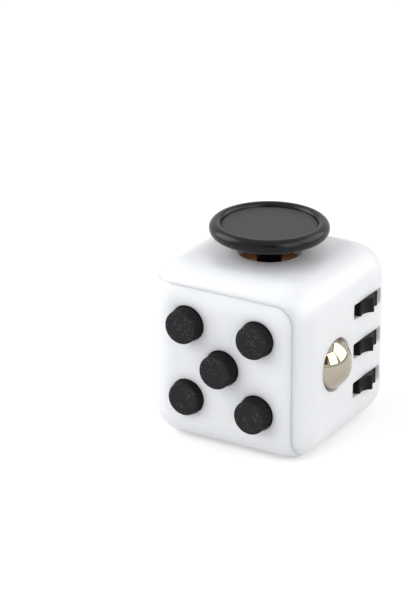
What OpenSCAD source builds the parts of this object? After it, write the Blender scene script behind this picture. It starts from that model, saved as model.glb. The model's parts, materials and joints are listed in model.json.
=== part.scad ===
/* [Body] */
// Width of the cube across its flat faces
cube_w = 33; // [32:0.5:42]
// Radius of the rounded edges and corners
edge_r = 6.2; // [5.4:0.1:6.6]
// Thickness of the shell walls
wall_t = 2; // [1.7:0.1:2.4]
// Depth of the seam behind the faces of the front half
seam_depth = 0.85; // [0.6:0.05:1.2]
// Radius of the seam where it turns a corner
seam_corner_r = 3.2; // [2:0.1:5]
// Distance of the locating ribs from the middle of each seam edge
rib_offset = 3.2; // [3:0.1:4]

/* [Click face] */
// Radius of a button cap
button_r = 3.1; // [2.6:0.05:3.8]
// Distance of the corner buttons from the middle of the face
button_pitch = 7; // [6.8:0.1:7.4]
// Height of the top left button above the face
rise_top_left = 2.7; // [1.5:0.05:3.5]
// Height of the top right button above the face
rise_top_right = 2.4; // [1.5:0.05:3.5]
// Height of the centre button above the face
rise_centre = 2.85; // [1.5:0.05:3.5]
// Height of the bottom left button above the face
rise_bottom_left = 1.75; // [1.5:0.05:3.5]
// Height of the bottom right button above the face
rise_bottom_right = 2.85; // [1.5:0.05:3.5]
// How far a button presses in
button_travel = 0.9; // [0.5:0.05:1.2]
// Play between a button and its hole
button_play = 0.22; // [0.1:0.02:0.3]

/* [Glide face] */
// Radius of the thumb disc
disc_r = 10.7; // [9:0.1:12]
// Height of the disc's widest line above the face
disc_rise = 4.35; // [3.6:0.05:5]
// Radius of the rounded rim of the disc
rim_r = 1.3; // [1.1:0.05:1.4]
// Radius of the flat dish in the disc
dish_r = 8.7; // [7:0.1:9]
// Radius of the disc's stem
stem_r = 2.25; // [2:0.05:2.6]
// Radius of the hole that the stem moves in
glide_hole_r = 5.75; // [5.5:0.05:6]
// How far the disc slides each way
glide_travel = 2; // [1.2:0.1:2.1]

/* [Roll face] */
// Radius of the steel ball
ball_r = 5; // [4:0.05:5.2]
// Thickness of the lip that holds the ball in
ball_lip = 1.3; // [1:0.05:1.5]
// How far the ball presses in
ball_travel = 0.8; // [0.4:0.05:1]
// Radius of the gear wheels at their points
gear_r = 5.2; // [4.2:0.05:5.4]
// Width of a gear wheel
gear_w = 2.7; // [2.2:0.05:2.8]
// Distance between gear wheels
gear_pitch = 7.5; // [7.2:0.05:7.7]
// Depth of the gear axle behind the face
gear_sink = 4; // [3.6:0.05:4.2]
// Number of scallops round a gear wheel
gear_scallops = 10; // [8:1:12]
// Depth of a scallop
scallop_depth = 0.55; // [0.3:0.05:0.7]
// Length of a gear slot
slot_len = 10.3; // [9.9:0.1:10.5]
// Play between a gear wheel and the sides of its slot
slot_play = 0.1; // [0.08:0.01:0.25]
// Radius of the gear axle
axle_r = 0.75; // [0.6:0.05:0.9]

/* [Flip face] */
// Width of the rocker
rocker_w = 7; // [6:0.1:7.6]
// Length of the rocker
rocker_len = 12; // [10:0.1:13]
// Tilt of the rocker to each side
rocker_tilt = 9; // [6:0.5:10]
// Height of the rocker's middle above the face
rocker_rise = 0.9; // [0.5:0.05:1.2]
// Depth of the rocker's pin behind the face
rocker_sink = 3.1; // [3:0.05:3.6]

/* [Spin face] */
// Radius of the dial
dial_r = 7.7; // [6.5:0.1:8.4]
// Height of the dial above the face
dial_rise = 1.6; // [1:0.05:2]
// Depth of the shallow seat that the dial turns in
dial_seat = 0.8; // [0.5:0.05:1]
// Radius of the fingertip dimple in the dial
dimple_r = 2.8; // [2:0.1:3]

/* [Breathe face] */
// Radius of the thumb hollow
hollow_r = 9.5; // [8:0.1:10]
// Depth of the thumb hollow
hollow_depth = 1.5; // [1:0.05:1.8]

/* [Fasteners] */
// Radius of a screw shank
screw_r = 0.8; // [0.7:0.05:0.9]
// Radius of a screw head
screw_head_r = 1.45; // [1.3:0.05:1.5]
// Height of a screw head
screw_head_h = 0.75; // [0.6:0.05:0.8]
// Radius of the posts that the screws go in
post_r = 1.5; // [1.4:0.05:1.6]

/* [Hidden] */
$fn = 64;

// Colours
shell_white = "#f1f2f4";
cap_black = "#1d1d1f";
disc_black = "#2a2b2e";
frame_grey = "#c9cbce";
steel = "#b9bcc0";
bronze = "#b0703a";
chrome = "#dcdad4";

// Turns that point +Z out of each face, with the face's own up along +Y where it has one
TOP = [0, 0, 0];
FRONT = [90, 0, 0];
RIGHT = [90, 0, 90];
BACK = [90, 0, 180];
LEFT = [90, 0, -90];
BOTTOM = [180, 0, 0];

// Clearances
slide_gap = 0.1;
pin_gap = 0.05;
thread_gap = 0.03;
hang_gap = 0.3;
weld = 0.3;
// How far a cut runs past what it cuts, or a boss into what it joins
past = 1;
// What keeps two faces from lying on one plane
kiss = 0.01;

// Screws
recess_reach = 1.2;
recess_w = 0.35;
bite = 2.4;
glide_bite = 2;
foot_bite = 1.4;
pilot_len = 3;
ear_t = 1;

// Shell
half = cube_w / 2;
flat = half - edge_r;
cavity_r = edge_r - wall_t;
seam_in = edge_r - sqrt(pow(edge_r, 2) - pow(edge_r - seam_depth, 2));
seam_at = half - seam_in;
seam_rise = edge_r - seam_in;
rib_w = 1.1;
rib_t = 1.2;
// Turns that point +X out of the front half's wall and +Y out of the rear half's wall, along each seam edge
SEAM_EDGES = [[90, 0, -90], [90, 0, 180], [0, 0, -90], [0, 180, 0], [90, 90, 0], [0, 90, 0]];

// Click face
flange_lip = 0.9;
flange_r = button_r + flange_lip;
flange_t = 0.7;
flange_gap = 0.0413;
// How far the wall's inner curve comes in at the outer edge of a corner flange
flange_over = max(0, button_pitch + flange_r - flat);
flange_drop = cavity_r - sqrt(pow(cavity_r, 2) - pow(flange_over, 2));
flange_top = wall_t + flange_gap + flange_drop;
flange_base = flange_top + flange_t;
pusher_r = 1.1;
pusher_len = 1.1;
dome_r = 1.25;
dome_h = 0.35;
dome_t = 0.15;
plate_top = flange_base + pusher_len + button_travel + slide_gap + dome_h;
plate_t = 0.8;
plate_back = plate_top + plate_t;
plate_half = flat - slide_gap;
cap_edge_r = 0.6;
button_spring_r = 1.75;
spring_wire_r = 0.12;
spring_turns = 4;
plate_corner_r = 2;
button_post_room = 1.9;
button_post_at = flange_r + post_r + button_post_room;
BUTTON_POSTS = [[-button_post_at, 0], [0, button_post_at], [0, -button_post_at]];
AT_TOP_LEFT = [-button_pitch, button_pitch];
AT_TOP_RIGHT = [button_pitch, button_pitch];
AT_CENTRE = [0, 0];
AT_BOTTOM_LEFT = [-button_pitch, -button_pitch];
AT_BOTTOM_RIGHT = [button_pitch, -button_pitch];

// Glide face, as depths below the face
washer_t = 0.3;
slider_top = wall_t + slide_gap + washer_t;
slider_t = 1;
slider_base = slider_top + slider_t;
slider_cover = 0.25;
slider_half = glide_hole_r + glide_travel + slider_cover;
slider_corner_r = 2;
key_half_x = 6;
key_half_y = 3.8;
key_h = 1.1;
leaf_gap = glide_travel + hang_gap;
leaf_t = 0.25;
leaf_half = 4.5;
leaf_w = 0.8;
leaf_rest = 0.3;
cross_wall = 1.6;
cross_half = max(key_half_x + slide_gap, key_half_y + leaf_gap) + cross_wall;
cross_top = slider_base + slide_gap;
cross_t = 1.2;
floor_top = cross_top + cross_t + slide_gap;
floor_t = 1;
rail_w = 0.8;
rail_drop = 0.2;
rail_top = slider_base + rail_drop;
spigot_r = 1.5;
spigot_len = 0.8;
glide_post_room = 1;
glide_post_at = slider_half + glide_travel + glide_post_room;
disc_under = 1.6;
disc_neck = 0.6;
dish_rise = 0.55;
crease_w = 0.5;
stem_root = 1;
disc_pilot = 2.2;
glide_screw_len = 3.4;
head_room = 0.3;
GLIDE_POSTS = [for (sx = [-1, 1], sy = [-1, 1]) [sx * glide_post_at, sy * glide_post_at]];

// Roll face, as depths below the face
ball_hold = 0.1;
ball_hole_r = ball_r - ball_hold;
ball_sink = ball_lip + sqrt(pow(ball_r, 2) - pow(ball_hole_r - pin_gap, 2));
ball_room = 0.45;
ball_y = plate_back + ball_room + ball_r - half;
cup_reach = 3.5;
cup_front = ball_sink + cup_reach;
cup_base_t = 1.9;
cup_back = ball_sink + ball_r + cup_base_t;
cup_wall = 0.63;
cup_r = sqrt(pow(ball_r, 2) - pow(cup_reach, 2)) + cup_wall;
ball_spring_r = 1.8;
ball_spring_seat = 1.2;
spring_groove = 0.5;
holder_wall = 0.95;
holder_r = cup_r + slide_gap + holder_wall;
run_gap = 0.15;
holder_front = ball_sink + ball_travel + sqrt(pow(ball_r, 2) - pow(cup_r - slide_gap, 2)) + run_gap;
holder_floor = cup_back + ball_travel + hang_gap;
holder_t = 0.9;
ball_ear_at = cup_back - ear_t;
ball_post_room = 0.4;
ball_post_z = holder_r + post_r + ball_post_room;
gear_room = 1.25;
gear_y = ball_y + ball_r + gear_room + gear_r;
slot_corner_r = 0.3;
slot_h = gear_w + 2 * slot_play;
scallop_land = 0.15;
scallop_half = gear_r * sin(180 / gear_scallops) - scallop_land;
// The spacers reach from the axle to the inside of the wall
spacer_wall = gear_sink - wall_t - axle_r;
scallop_r = (pow(scallop_half, 2) + pow(scallop_depth, 2)) / (2 * scallop_depth);
scallop_at = sqrt(pow(gear_r, 2) - pow(scallop_half, 2)) - scallop_depth + scallop_r;
arm_w = 4;
arm_t = 0.9;
arm_z = gear_pitch + gear_w / 2 + 2 * slide_gap;
wall_room = 0.2;
arm_end = wall_t + wall_room;
bracket_room = 0.4;
bracket_front = gear_sink + gear_r + bracket_room;
bracket_t = 0.8;
bracket_back = bracket_front + bracket_t;
foot_post = 1.6;
foot_top = wall_t + foot_post;
foot_z = arm_z + arm_t + post_r + slide_gap;

// Flip face, as depths below the face
rocker_side_play = 0.4;
rocker_end_play = 1.2;
rocker_opening_x = rocker_w + rocker_side_play;
rocker_opening_z = rocker_len + rocker_end_play;
rocker_corner_r = 0.4;
rocker_chamfer = 1;
rocker_base = 1.6;
rocker_boss_r = 1.9;
rocker_boss_len = 3;
rocker_pin_r = 0.6;
rocker_bore_r = 1.1;
rocker_bore_top = 1.3;
rocker_ball_r = 1;
rocker_ball_out = 0.25;
rocker_ball_at = rocker_base + rocker_boss_len + rocker_ball_out;
rocker_floor = rocker_sink + rocker_ball_at + rocker_ball_r + run_gap;
rocker_spring_r = 0.85;
rocker_wire_r = 0.1;
rocker_spring_turns = 5;
pit_depth = 0.3;
rocker_floor_t = 0.8;
rocker_ear_room = 0.4;
rocker_ear_x = rocker_w / 2 + rocker_ear_room;
rocker_ear_t = 1;
rocker_ear_z = 2;
rocker_arm_extra = 1;
rocker_post_room = 0.8;
rocker_post_z = rocker_opening_z / 2 + post_r + rocker_post_room;

// Spin face
dial_hub_r = 2.4;
dial_hub_out = 0.5;
dial_hub_end = wall_t + slide_gap + dial_hub_out;
dial_seat_play = 0.3;
dial_edge_r = 0.7;
dial_screw_bite = 3;
dial_pilot = 3.2;
dial_washer_r = 4.2;
dial_washer_t = 0.5;
dimple_at = 4.1;
dimple_ball_r = 4.4;
dial_screw_head_r = 1.9;

// Breathe face
thumb_r = (pow(hollow_r, 2) + pow(hollow_depth, 2)) / (2 * hollow_depth);

// Moves to a face of the cube: +Z points out of it and 0 is its surface
module on_face(turn) {
  translate([0, 0, half]) rotate(turn) translate([0, 0, half]) children();
}

// Moves to a depth below a face, at a place on it
module sunk(depth, at = [0, 0]) {
  translate([at[0], at[1], -depth]) children();
}

module block(size_x, size_y, height) {
  translate([-size_x / 2, -size_y / 2, 0]) cube([size_x, size_y, height]);
}

// Block with upright edges rounded
module round_block(size_x, size_y, height, r) {
  block(size_x - 2 * r, size_y, height);
  block(size_x, size_y - 2 * r, height);
  for (sx = [-1, 1], sy = [-1, 1])
    translate([sx * (size_x / 2 - r), sy * (size_y / 2 - r), 0]) cylinder(r = r, h = height);
}

module tube(outer_r, inner_r, height) {
  difference() {
    cylinder(r = outer_r, h = height);
    translate([0, 0, -past]) cylinder(r = inner_r, h = height + 2 * past);
  }
}

// Coil spring standing on 0, as one swept wire
module coil(coil_r, wire_r, height, turns) {
  sides = 6;
  steps = 14 * turns;
  rise = height - 2 * wire_r;
  points = [for (i = [0:steps], k = [0:sides - 1])
    let (around = 360 * turns * i / steps, lean = 360 * k / sides, out = coil_r + wire_r * cos(lean))
    [out * cos(around), out * sin(around), wire_r + rise * i / steps + wire_r * sin(lean)]];
  walls = [for (i = [0:steps - 1], k = [0:sides - 1])
    let (a = i * sides + k, b = i * sides + (k + 1) % sides) [a, a + sides, b + sides, b]];
  start_cap = [[for (k = [0:sides - 1]) k]];
  end_cap = [[for (k = [sides - 1:-1:0]) steps * sides + k]];
  polyhedron(points, concat(walls, start_cap, end_cap));
}

// Self-tapping screw: its head stands on 0 towards -Z and its shank goes up +Z
module screw(shank_len, head_r = screw_head_r) {
  cylinder(r = screw_r, h = shank_len);
  difference() {
    translate([0, 0, -screw_head_h]) cylinder(r = head_r, h = screw_head_h);
    for (turn = [0, 90]) rotate([0, 0, turn])
      translate([0, 0, -screw_head_h - past]) block(head_r * recess_reach, recess_w, past + recess_w);
  }
}

// Post that grows from the inside of a wall to a depth
module post(depth) {
  sunk(depth) cylinder(r = post_r, h = depth - wall_t + weld);
}

// Pilot hole in a post, open at the post's end
module pilot(depth, length) {
  sunk(depth + past) cylinder(r = screw_r + thread_gap, h = length + past);
}

module quarter_bar(length, r) {
  translate([0, 0, -length / 2]) rotate_extrude(angle = 90) square([r, length]);
}

module ball_octant(r) {
  rotate_extrude(angle = 90) intersection() {
    circle(r);
    square(r);
  }
}

// Cube with all its edges and corners rounded, about its own centre
module rounded_cube(to_face, r) {
  inner = to_face - r;
  cube(2 * inner, center = true);
  for (side = [-1, 1]) {
    translate([side * (inner + r / 2), 0, 0]) cube([r, 2 * inner, 2 * inner], center = true);
    translate([0, side * (inner + r / 2), 0]) cube([2 * inner, r, 2 * inner], center = true);
    translate([0, 0, side * (inner + r / 2)]) cube([2 * inner, 2 * inner, r], center = true);
  }
  for (quarter = [0:3]) rotate([0, 0, 90 * quarter])
    translate([inner, inner, 0]) quarter_bar(2 * inner, r);
  for (flip = [0, 1], quarter = [0:3]) mirror([0, 0, flip]) rotate([0, 0, 90 * quarter]) {
    translate([inner, inner, inner]) ball_octant(r);
    translate([0, inner, inner]) rotate([90, 0, 90]) quarter_bar(2 * inner, r);
  }
}

module hollow_cube() {
  translate([0, 0, half]) difference() {
    rounded_cube(half, edge_r);
    rounded_cube(half - wall_t, cavity_r);
  }
}

// Outline that ends at the seam on two sides, with the corner between them rounded
module seam_outline() {
  far = half + past;
  translate([-far, -far]) {
    square([far + seam_at, far + seam_at - seam_corner_r]);
    square([far + seam_at - seam_corner_r, far + seam_at]);
  }
  translate([seam_at - seam_corner_r, seam_at - seam_corner_r]) circle(seam_corner_r);
}

// Space of the front half: in front of the seam on the top, the right and the back
module front_zone() {
  translate([0, 0, half]) intersection_for (turn = [TOP, FRONT, RIGHT])
    rotate(turn) linear_extrude(cube_w + 2 * past, center = true) seam_outline();
}

// Rib of the rear half that reaches past the seam, inside the front half's wall
module locating_rib() {
  linear_extrude(rib_t, center = true) intersection() {
    square(edge_r);
    difference() {
      union() {
        circle(cavity_r - slide_gap);
        intersection() {
          circle(cavity_r + weld);
          translate([0, seam_rise + slide_gap]) square(edge_r);
        }
      }
      circle(cavity_r - rib_w);
    }
  }
}

module front_shell() {
  color(shell_white) difference() {
    union() {
      intersection() {
        hollow_cube();
        front_zone();
      }
      on_face(FRONT) for (at = BUTTON_POSTS) translate(at) post(plate_top);
      on_face(BOTTOM) thumb_bulge();
    }
    on_face(FRONT) {
      for (at = [AT_TOP_LEFT, AT_TOP_RIGHT, AT_CENTRE, AT_BOTTOM_LEFT, AT_BOTTOM_RIGHT])
        sunk(wall_t + past, at) cylinder(r = button_r + button_play, h = wall_t + 2 * past);
      for (at = BUTTON_POSTS) translate(at) pilot(plate_top, plate_top - wall_t);
    }
    on_face(LEFT) {
      sunk(dial_seat) cylinder(r = dial_r + dial_seat_play, h = dial_seat + past);
      sunk(wall_t + past) cylinder(r = dial_hub_r + pin_gap, h = wall_t + past);
    }
    on_face(BOTTOM) translate([0, 0, thumb_r - hollow_depth]) sphere(thumb_r, $fn = 128);
  }
}

// Wall that backs the thumb hollow inside the shell
module thumb_bulge() {
  intersection() {
    translate([0, 0, thumb_r - hollow_depth]) sphere(thumb_r + wall_t, $fn = 128);
    sunk(wall_t + hollow_depth + past) cylinder(r = hollow_r + wall_t, h = hollow_depth + past + weld);
  }
}

module rear_shell() {
  color(shell_white) difference() {
    union() {
      difference() {
        hollow_cube();
        front_zone();
      }
      translate([0, 0, half]) for (turn = SEAM_EDGES, side = [-1, 1])
        rotate(turn) translate([flat, flat, side * rib_offset]) locating_rib();
      on_face(TOP) for (at = GLIDE_POSTS) translate(at) post(floor_top);
      on_face(RIGHT) for (side = [-1, 1]) {
        translate([ball_y, side * ball_post_z]) post(ball_ear_at);
        translate([gear_y, side * foot_z]) post(foot_top);
      }
      on_face(BACK) for (side = [-1, 1]) translate([0, side * rocker_post_z]) post(rocker_floor);
    }
    on_face(TOP) {
      sunk(wall_t + past) cylinder(r = glide_hole_r, h = wall_t + 2 * past);
      for (at = GLIDE_POSTS) translate(at) pilot(floor_top, floor_top - wall_t);
    }
    on_face(RIGHT) {
      sunk(wall_t + past, [ball_y, 0]) cylinder(r = ball_hole_r, h = wall_t + 2 * past);
      sunk(wall_t + past, [ball_y, 0]) cylinder(r = ball_r + hang_gap, h = wall_t + past - ball_lip);
      for (side = [-1, 1]) {
        translate([ball_y, side * ball_post_z]) pilot(ball_ear_at, pilot_len);
        translate([gear_y, side * foot_z]) pilot(foot_top, foot_top - wall_t);
      }
      for (row = [-1:1]) translate([gear_y, row * gear_pitch, 0]) gear_slot();
    }
    on_face(BACK) {
      sunk(wall_t + past) round_block(rocker_opening_x, rocker_opening_z, wall_t + 2 * past, rocker_corner_r);
      for (side = [-1, 1]) translate([0, side * rocker_post_z]) pilot(rocker_floor, pilot_len);
    }
  }
}

// Slot through the wall and the room behind it for a wheel to turn
module gear_slot() {
  sunk(wall_t + past) round_block(slot_len, slot_h, wall_t + 2 * past, slot_corner_r);
  sunk(gear_sink, [0, slot_h / 2]) rotate([90, 0, 0]) cylinder(r = gear_r + hang_gap, h = slot_h);
}

// Button with a rounded cap, a flange behind the wall and a pusher
module button(at, rise) {
  color(cap_black) on_face(FRONT) translate(at) rotate_extrude() {
    translate([0, -flange_base]) square([flange_r, flange_t]);
    translate([0, -flange_top]) square([button_r, flange_top + rise - cap_edge_r]);
    translate([0, rise - cap_edge_r - weld]) square([button_r - cap_edge_r, cap_edge_r + weld]);
    intersection() {
      translate([button_r - cap_edge_r, rise - cap_edge_r]) circle(cap_edge_r);
      translate([0, rise - cap_edge_r]) square([button_r, cap_edge_r]);
    }
    translate([0, -flange_base - pusher_len]) square([pusher_r, pusher_len]);
  }
}

module button_spring(at) {
  color(steel) on_face(FRONT) sunk(plate_top, at)
    coil(button_spring_r, spring_wire_r, plate_top - flange_base, spring_turns);
}

module button_top_left() {
  button(AT_TOP_LEFT, rise_top_left);
}

module button_top_right() {
  button(AT_TOP_RIGHT, rise_top_right);
}

module button_centre() {
  button(AT_CENTRE, rise_centre);
}

module button_bottom_left() {
  button(AT_BOTTOM_LEFT, rise_bottom_left);
}

module button_bottom_right() {
  button(AT_BOTTOM_RIGHT, rise_bottom_right);
}

module spring_top_left() {
  button_spring(AT_TOP_LEFT);
}

module spring_top_right() {
  button_spring(AT_TOP_RIGHT);
}

module spring_centre() {
  button_spring(AT_CENTRE);
}

module spring_bottom_left() {
  button_spring(AT_BOTTOM_LEFT);
}

module spring_bottom_right() {
  button_spring(AT_BOTTOM_RIGHT);
}

// Thin metal domes that snap under three of the buttons
module click_domes() {
  bend_r = (pow(dome_r, 2) + pow(dome_h, 2)) / (2 * dome_h);
  color(steel) on_face(FRONT) for (at = [AT_TOP_LEFT, AT_CENTRE, AT_BOTTOM_RIGHT]) sunk(plate_top, at)
    intersection() {
      translate([0, 0, dome_h - bend_r]) difference() {
        sphere(bend_r);
        sphere(bend_r - dome_t);
      }
      cylinder(r = dome_r, h = dome_h + past);
    }
}

module button_plate() {
  color(frame_grey) on_face(FRONT) difference() {
    sunk(plate_back) round_block(2 * plate_half, 2 * plate_half, plate_t, plate_corner_r);
    for (at = BUTTON_POSTS) sunk(plate_back + past, at)
      cylinder(r = screw_r + slide_gap, h = plate_t + 2 * past);
  }
}

// Thumb disc with a rounded rim, a shallow dish and a stem
module glide_disc() {
  rim_at = disc_r - rim_r;
  dish_top = disc_rise + dish_rise;
  color(disc_black) on_face(TOP) difference() {
    rotate_extrude() {
      difference() {
        union() {
          polygon([[0, disc_rise - disc_under], [stem_r + disc_neck, disc_rise - disc_under],
            [rim_at, disc_rise - rim_r], [rim_at, disc_rise + rim_r], [0, disc_rise + rim_r]]);
          translate([rim_at, disc_rise]) circle(rim_r);
        }
        translate([0, dish_top]) square([dish_r, rim_r]);
        translate([dish_r, disc_rise + rim_r]) rotate([0, 0, 45]) square(crease_w, center = true);
      }
      translate([0, -slider_top]) square([stem_r, slider_top + disc_rise - stem_root]);
      translate([0, -slider_top - spigot_len]) square([spigot_r, spigot_len + past]);
    }
    sunk(slider_top + spigot_len + past)
      cylinder(r = screw_r + thread_gap, h = spigot_len + past + disc_pilot);
  }
}

module glide_washer() {
  color(bronze) on_face(TOP) sunk(slider_top) difference() {
    round_block(2 * slider_half, 2 * slider_half, washer_t, slider_corner_r);
    translate([0, 0, -past]) cylinder(r = stem_r + slide_gap, h = washer_t + 2 * past);
  }
}

// Plate that the disc's stem is screwed to, with a key that slides front to back in the cross slider
module glide_slider() {
  color(cap_black) on_face(TOP) difference() {
    union() {
      sunk(slider_base) round_block(2 * slider_half, 2 * slider_half, slider_t, slider_corner_r);
      sunk(slider_base + key_h) block(2 * key_half_x, 2 * key_half_y, key_h + weld);
    }
    sunk(slider_top + spigot_len) cylinder(r = spigot_r + thread_gap, h = spigot_len + past);
    sunk(slider_base + key_h + past) cylinder(r = screw_r + slide_gap, h = slider_t + key_h + 2 * past);
    sunk(slider_base + key_h + past) cylinder(r = screw_head_r + head_room, h = screw_head_h + past);
  }
}

module glide_screw() {
  color(steel) on_face(TOP) sunk(slider_base + key_h - screw_head_h) screw(glide_screw_len);
}

// Frame that slides left to right in the retainer and guides the slider's key
module cross_slider() {
  color(frame_grey) on_face(TOP) sunk(cross_top + cross_t) difference() {
    block(2 * cross_half, 2 * cross_half, cross_t);
    translate([0, 0, -past])
      block(2 * (key_half_x + slide_gap), 2 * (key_half_y + leaf_gap), cross_t + 2 * past);
  }
}

// Bowed leaf whose middle touches 0 and whose ends touch the wall at the gap
module leaf(height) {
  bow = leaf_gap - 2 * kiss;
  bow_r = (pow(leaf_half, 2) + pow(bow, 2)) / (2 * bow);
  linear_extrude(height) intersection() {
    translate([0, bow_r]) difference() {
      circle(bow_r, $fn = 96);
      circle(bow_r - leaf_t, $fn = 96);
    }
    translate([-leaf_half, 0]) square([2 * leaf_half, bow]);
  }
}

module glide_y_springs() {
  color(bronze) on_face(TOP) for (turn = [0, 180]) rotate([0, 0, turn])
    sunk(cross_top + key_h - leaf_rest, [0, key_half_y + kiss]) leaf(leaf_w);
}

module glide_x_springs() {
  color(bronze) on_face(TOP) for (turn = [-90, 90]) rotate([0, 0, turn])
    sunk(cross_top + key_h - leaf_rest, [0, cross_half + kiss]) leaf(leaf_w);
}

// Floor under the cross slider, with rails beside it and a wall at each end of its travel
module glide_retainer() {
  end_at = cross_half + leaf_gap;
  rail_at = cross_half + slide_gap;
  color(frame_grey) on_face(TOP) difference() {
    union() {
      sunk(floor_top + floor_t) {
        block(2 * (end_at + rail_w), 2 * (rail_at + rail_w), floor_t);
        for (turn = [45, -45]) rotate([0, 0, turn])
          round_block(2 * (glide_post_at * sqrt(2) + post_r), 2 * post_r, floor_t, post_r - kiss);
      }
      for (side = [-1, 1]) {
        sunk(floor_top + slide_gap, [0, side * (rail_at + rail_w / 2)])
          block(2 * (end_at + rail_w), rail_w, floor_top + slide_gap - rail_top);
        sunk(floor_top + slide_gap, [side * (end_at + rail_w / 2), 0])
          block(rail_w, 2 * (rail_at + rail_w), floor_top + slide_gap - rail_top);
      }
    }
    for (at = GLIDE_POSTS) sunk(floor_top + floor_t + past, at)
      cylinder(r = screw_r + slide_gap, h = floor_t + 2 * past);
  }
}

module steel_ball() {
  color(chrome) on_face(RIGHT) sunk(ball_sink, [ball_y, 0]) sphere(ball_r, $fn = 96);
}

// Cup that carries the ball and moves in with it
module ball_cup() {
  color(frame_grey) on_face(RIGHT) difference() {
    sunk(cup_back, [ball_y, 0]) cylinder(r = cup_r, h = cup_back - cup_front);
    sunk(ball_sink, [ball_y, 0]) sphere(ball_r + pin_gap, $fn = 96);
    sunk(cup_back + past, [ball_y, 0])
      tube(ball_spring_r + spring_groove, ball_spring_r - spring_groove, ball_spring_seat + past);
  }
}

module ball_spring() {
  color(steel) on_face(RIGHT) sunk(holder_floor, [ball_y, 0])
    coil(ball_spring_r, spring_wire_r, holder_floor - cup_back + ball_spring_seat, spring_turns);
}

// Guide for the ball's cup, with an ear on each side
module ball_holder() {
  color(frame_grey) on_face(RIGHT) translate([ball_y, 0, 0]) difference() {
    union() {
      sunk(holder_floor + holder_t) cylinder(r = holder_r, h = holder_floor + holder_t - holder_front);
      sunk(ball_ear_at + ear_t) round_block(2 * post_r, 2 * (ball_post_z + post_r), ear_t, post_r - kiss);
    }
    sunk(holder_floor) cylinder(r = cup_r + slide_gap, h = holder_floor);
    for (side = [-1, 1]) sunk(ball_ear_at + ear_t + past, [0, side * ball_post_z])
      cylinder(r = screw_r + slide_gap, h = ear_t + 2 * past);
  }
}

// Wheel with concave scallops round its edge
module gear(row) {
  color(cap_black) on_face(RIGHT) sunk(gear_sink, [gear_y, row * gear_pitch + gear_w / 2])
    rotate([90, 0, 0]) difference() {
      cylinder(r = gear_r, h = gear_w);
      translate([0, 0, -past]) cylinder(r = axle_r + pin_gap, h = gear_w + 2 * past);
      for (i = [0:gear_scallops - 1]) rotate([0, 0, 360 * (i + 0.5) / gear_scallops])
        translate([scallop_at, 0, -past]) cylinder(r = scallop_r, h = gear_w + 2 * past);
    }
}

module gear_top() {
  gear(1);
}

module gear_middle() {
  gear(0);
}

module gear_bottom() {
  gear(-1);
}

module gear_axle() {
  reach = arm_z + arm_t;
  color(steel) on_face(RIGHT) sunk(gear_sink, [gear_y, reach]) rotate([90, 0, 0])
    cylinder(r = axle_r, h = 2 * reach);
}

// Sleeves on the axle that keep the wheels apart
module axle_spacers() {
  length = gear_pitch - gear_w - 2 * slide_gap;
  color(frame_grey) on_face(RIGHT) for (side = [-1, 1])
    sunk(gear_sink, [gear_y, side * gear_pitch / 2 + length / 2]) rotate([90, 0, 0])
      tube(axle_r + spacer_wall, axle_r + thread_gap, length);
}

// Bracket whose two arms hold the axle, with a foot on each arm
module gear_bracket() {
  arm_len = bracket_back - arm_end;
  foot_len = post_r + foot_z - arm_z;
  color(frame_grey) on_face(RIGHT) translate([gear_y, 0, 0]) difference() {
    union() {
      sunk(bracket_back) block(arm_w, 2 * (arm_z + arm_t), bracket_back - bracket_front);
      for (side = [-1, 1]) {
        sunk(bracket_back, [0, side * (arm_z + arm_t / 2)]) block(arm_w, arm_t, arm_len);
        sunk(foot_top + ear_t, [0, side * (arm_z + foot_len / 2)]) block(2 * post_r, foot_len, ear_t);
      }
    }
    sunk(gear_sink, [0, arm_z + arm_t + kiss]) rotate([90, 0, 0])
      cylinder(r = axle_r + thread_gap, h = 2 * (arm_z + arm_t + kiss));
    for (side = [-1, 1]) sunk(foot_top + ear_t + past, [0, side * foot_z])
      cylinder(r = screw_r + slide_gap, h = ear_t + 2 * past);
  }
}

// Moves to the rocker's pin and leans over to the stored side
module on_rocker() {
  on_face(BACK) sunk(rocker_sink) rotate([-rocker_tilt, 0, 0]) children();
}

// Rocker with a shallow V on top, a bore for its pin and a boss for the click ball
module rocker() {
  middle = rocker_sink + rocker_rise;
  wing = middle + rocker_len / 2 * tan(rocker_tilt);
  end = rocker_len / 2;
  chamfer_at = rocker_chamfer - rocker_base;
  color(cap_black) on_rocker() difference() {
    union() {
      translate([-rocker_w / 2, 0, 0]) rotate([90, 0, 90]) linear_extrude(rocker_w)
        polygon([[-end, chamfer_at], [-end + rocker_chamfer, -rocker_base],
          [end - rocker_chamfer, -rocker_base], [end, chamfer_at], [end, wing], [0, middle], [-end, wing]]);
      translate([0, 0, -rocker_base - rocker_boss_len])
        cylinder(r = rocker_boss_r, h = rocker_boss_len + past);
    }
    translate([-rocker_w / 2 - past, 0, 0]) rotate([0, 90, 0])
      cylinder(r = rocker_pin_r + pin_gap, h = rocker_w + 2 * past);
    translate([0, 0, -rocker_base - rocker_boss_len - past])
      cylinder(r = rocker_bore_r, h = rocker_base + rocker_boss_len + past - rocker_bore_top);
  }
}

module rocker_ball() {
  color(steel) on_rocker() translate([0, 0, -rocker_ball_at]) sphere(rocker_ball_r);
}

module rocker_spring() {
  bottom = rocker_ball_at - rocker_ball_r;
  color(steel) on_rocker() translate([0, 0, -bottom])
    coil(rocker_spring_r, rocker_wire_r, bottom - rocker_bore_top, rocker_spring_turns);
}

module rocker_pin() {
  reach = rocker_ear_x + rocker_ear_t;
  color(steel) on_face(BACK) sunk(rocker_sink, [-reach, 0]) rotate([0, 90, 0])
    cylinder(r = rocker_pin_r, h = 2 * reach);
}

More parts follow.
